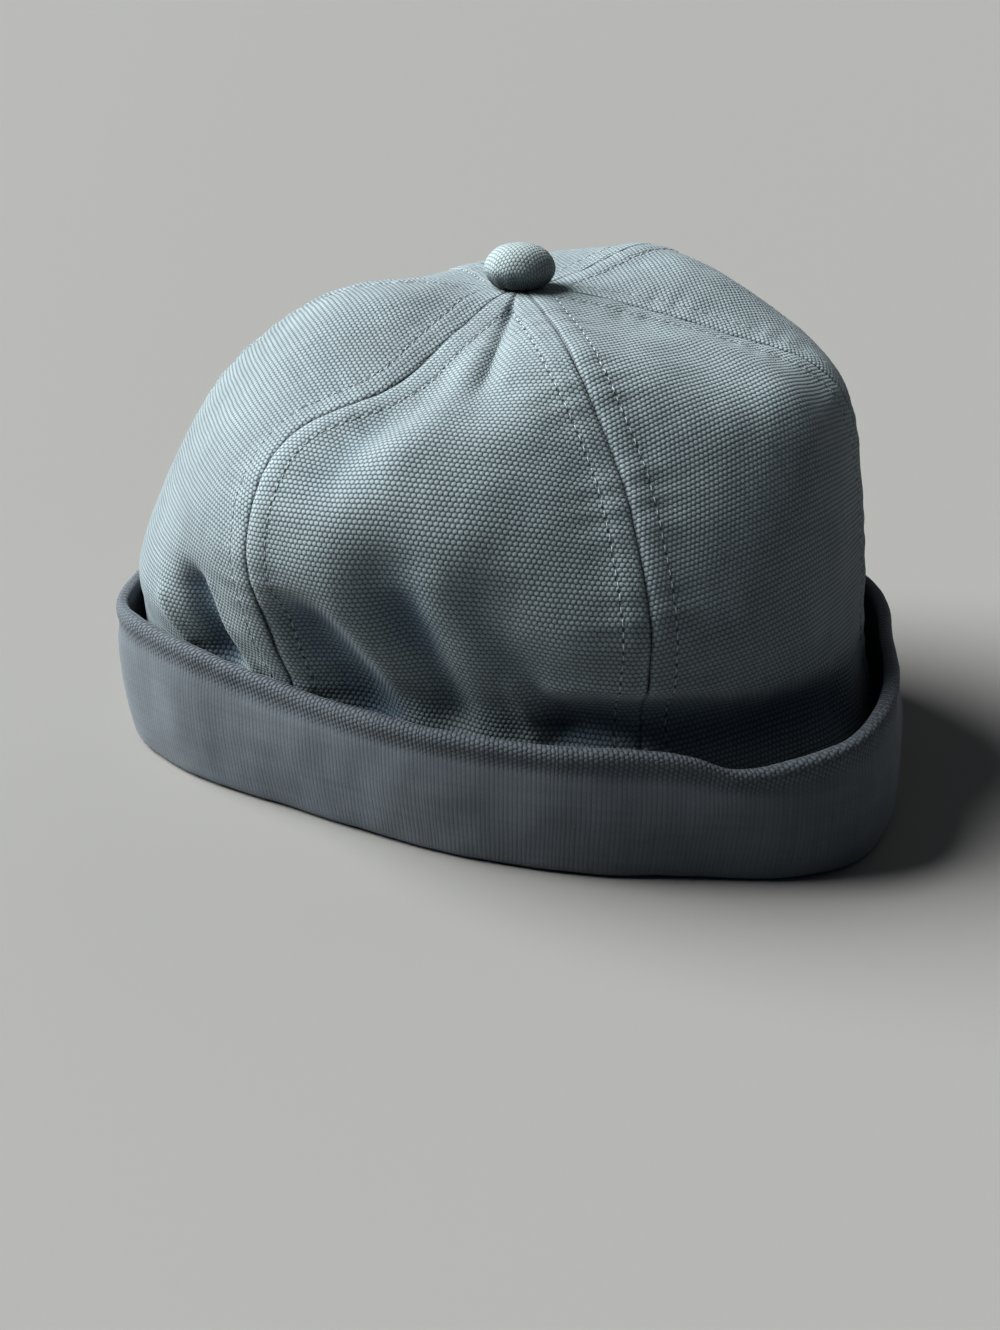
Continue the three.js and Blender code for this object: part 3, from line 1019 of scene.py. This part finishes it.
# %% Wave the cuff's face and fold its lip
FACE_WAVES = 13  # soft upright swells round the face
FACE_WAVE_DRIFT = 2.2  # radians by which a slower wave shifts them
FACE_WAVE_OUT = 0.8 * MM
FACE_WAVE_TALL = 11 * MM
LIP_DIP = 2 * MM  # a short fold in the lip, at one end of the cap
LIP_DIP_AT = math.radians(323.5)
LIP_DIP_WIDE = (math.radians(3.2), math.radians(8.5))  # steep before the fold, easy after it
LIP_DIP_TALL = 9 * MM
cuff_turn = turns_of(cuff_points)
drift = FACE_WAVE_DRIFT * np.sin(3 * cuff_turn)
face_wave = 0.5 + 0.5 * np.sin(FACE_WAVES * cuff_turn + drift + np.sin(5 * cuff_turn))
face_wave *= FACE_WAVE_OUT * hump(cuff_points[:, 2] - lip_heights(cuff_points) / 2, FACE_WAVE_TALL)
cuff_points[:, 0] += face_wave * np.cos(cuff_turn)
cuff_points[:, 1] += face_wave * np.sin(cuff_turn)
from_dip = (cuff_turn - LIP_DIP_AT + math.pi) % (2 * math.pi) - math.pi
dip = hump(from_dip, np.where(from_dip < 0, *LIP_DIP_WIDE)) * hump(below_lip, LIP_DIP_TALL)
cuff_points[:, 2] -= LIP_DIP * dip
move_points(cuff, cuff_points)
finish_with(cuff, "DISPLACE", texture=rumple, strength=RUMPLE, mid_level=0.5)
print("waves", round(face_wave.max() / MM, 2), "mm out, lip fold", round(LIP_DIP / MM, 1), "mm deep")

# %% Set the cuff's foot on the floor
FOOT_EASE = 3 * MM
cuff_points = points_of(cuff)
cuff_points[:, 2] -= cuff_points[:, 2].min() * np.clip(1 - cuff_points[:, 2] / FOOT_EASE, 0, 1)
cuff_points[:, 2] = np.maximum(cuff_points[:, 2], 0)
move_points(cuff, cuff_points)
carry(cuff, "lip_away", below_lip)
alone(cuff)
bpy.ops.object.shade_smooth()
print("cuff's foot at", round(cuff_points[:, 2].min() / MM, 3), "mm")

# %% Lay the cuff out flat
FACE_STRIP = 5.5 * MM  # half the height of the strip whose length round is measured
FACE_SQUARE = 0.8  # a point of the outer face looks outwards at least this squarely
FOOT_SQUARE = 0.7  # and a point of the flat foot looks up or down at least this squarely


def cuff_pattern(piece):
    """The cuff's flat pattern: u round the cap, v up the outer face, over the roll and down inside."""
    points = points_of(piece)
    normals = normals_of(piece)
    turn = turns_of(points)
    out = out_from_axis(points)
    outward = (normals[:, 0] * np.cos(turn)) + (normals[:, 1] * np.sin(turn))
    lip = lip_heights(points)
    order = np.argsort(turn)
    from_middle = np.abs(points[:, 2] - lip / 2)
    outer = order[(outward[order] > FACE_SQUARE) & (from_middle[order] < FACE_STRIP)]
    radius = np.interp(BIN_TURNS, turn[outer], out[outer], period=2 * math.pi)
    step = np.hypot(radius * 2 * math.pi / TURN_BINS, np.diff(radius, append=radius[0]))
    reach = np.concatenate([[0], np.cumsum(step)])
    round_way = np.interp(turn, np.linspace(0, 2 * math.pi, TURN_BINS + 1), reach)
    roll_start = lip - LIP_HALF
    roll_turn = np.clip(np.arctan2(normals[:, 2], outward), 0, math.pi)
    over_roll = np.where(points[:, 2] > roll_start, LIP_HALF * roll_turn, 0)
    inside = np.where(outward < 0, LIP_HALF * math.pi + np.maximum(roll_start - points[:, 2], 0), 0)
    up_face = np.where(outward < 0, roll_start, np.minimum(points[:, 2], roll_start))
    upward = up_face + np.maximum(over_roll, inside)
    under = (np.abs(normals[:, 2]) > FOOT_SQUARE) & (points[:, 2] < FOOT_EASE)
    foot = np.interp(turn, BIN_TURNS, radius, period=2 * math.pi)
    upward[under] = (out - foot)[under]
    return np.column_stack([round_way, upward]), reach[-1]


cuff_flat, CUFF_ROUND = cuff_pattern(cuff)
fresh_pattern(cuff)
cuff_corners = cuff_flat[corners_of(cuff)].reshape(-1, 4, 2)
wrapped = np.ptp(cuff_corners[:, :, 0], axis=1) > CUFF_ROUND / 2  # faces that lie across the pattern's ends
cuff_corners[wrapped, :, 0] += np.where(cuff_corners[wrapped, :, 0] < CUFF_ROUND / 2, CUFF_ROUND, 0)
write_corners(cuff, cuff_corners)
wear(cuff, CUFF_CANVAS)
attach(cuff, "root")
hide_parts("cuff")
cuff_skin = float(area_of(points_of(cuff), triangles_of(cuff)))

# %% [markdown]
# ## Button
# The button is a hard core with canvas gathered over it, so its dome is smooth and its rim puckers where
# the cloth is drawn in underneath. It could be turned from a profile with a Screw modifier, but the solid
# gives the dome already. It is smoothed and drawn in below its widest ring, and waves round its rim,
# strongest at the underside, make the gathers.

# %% Smooth the button and draw its underside in
BUTTON_LEVELS = 3
BUTTON_RADIUS = (button_high.x - button_low.x) / 2
STEM_TALL = 4 * MM  # the solid's stem through the panels' points
STEM_OUT = 3 * MM
BUTTON_TUCK = 0.26  # share by which the underside is drawn in
TUCK_CURVE = 1.5  # the power by which the tuck grows towards the underside


def widen(points, share):
    """Moves points away from the button's axis by a share of their distance from it."""
    points[:, 0] += (points[:, 0] - AXIS.x) * share
    points[:, 1] += (points[:, 1] - AXIS.y) * share


button = merged_copy("button", "covered_button")
finish_with(button, "SUBSURF", levels=BUTTON_LEVELS, render_levels=BUTTON_LEVELS)
button_points = points_of(button)
widen(button_points, BUTTON_RADIUS / out_from_axis(button_points).max() - 1)  # smoothing has shrunk it
past_stem = np.clip(out_from_axis(button_points) / STEM_OUT - 1, 0, 1)
button_up = (button_points[:, 2] - button_low.z - STEM_TALL) / (button_high.z - button_low.z - STEM_TALL)
draw_in = BUTTON_TUCK * np.clip(1 - 2 * button_up, 0, 1) ** TUCK_CURVE * past_stem
widen(button_points, -draw_in)
move_points(button, button_points)
print("button", len(button.data.polygons), "faces, drawn in by", round(draw_in.max(), 2), "of its width")

# %% Gather the button's rim
GATHERS = 17
GATHER_DEEP = 0.14 * MM
button_turn = turns_of(button_points)
rim_share = np.clip(1 - button_up, 0, 1) * past_stem
wave = np.cos(GATHERS * button_turn + 2 * np.sin(2 * button_turn)) * rim_share**2
move_points(button, button_points + normals_of(button) * (GATHER_DEEP * wave)[:, None])
# the dome's height, which the shader reads to paint shade on the button's underside
carry(button, "dome_up", button_up)
alone(button)
bpy.ops.object.shade_smooth()
print("gathers up to", round(GATHER_DEEP * wave.max() / MM, 2), "mm high")

# %% Lay the button's cloth out flat
BUTTON_GRAIN = math.radians(40)  # the cloth's rows lie slanting on the dome
fresh_pattern(button)
core = np.array([AXIS.x, AXIS.y, button_high.z - BUTTON_RADIUS])
from_core = points_of(button) - core
fall = np.arctan2(np.hypot(from_core[:, 0], from_core[:, 1]), from_core[:, 2])
spread = fall * BUTTON_RADIUS
slant = button_turn + BUTTON_GRAIN
write_flat(button, np.column_stack([spread * np.cos(slant), spread * np.sin(slant)]))
wear(button, BUTTON_CANVAS)
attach(button, "root")
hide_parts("button")
print("button's cloth", round(2 * spread.max() / MM), "mm across")
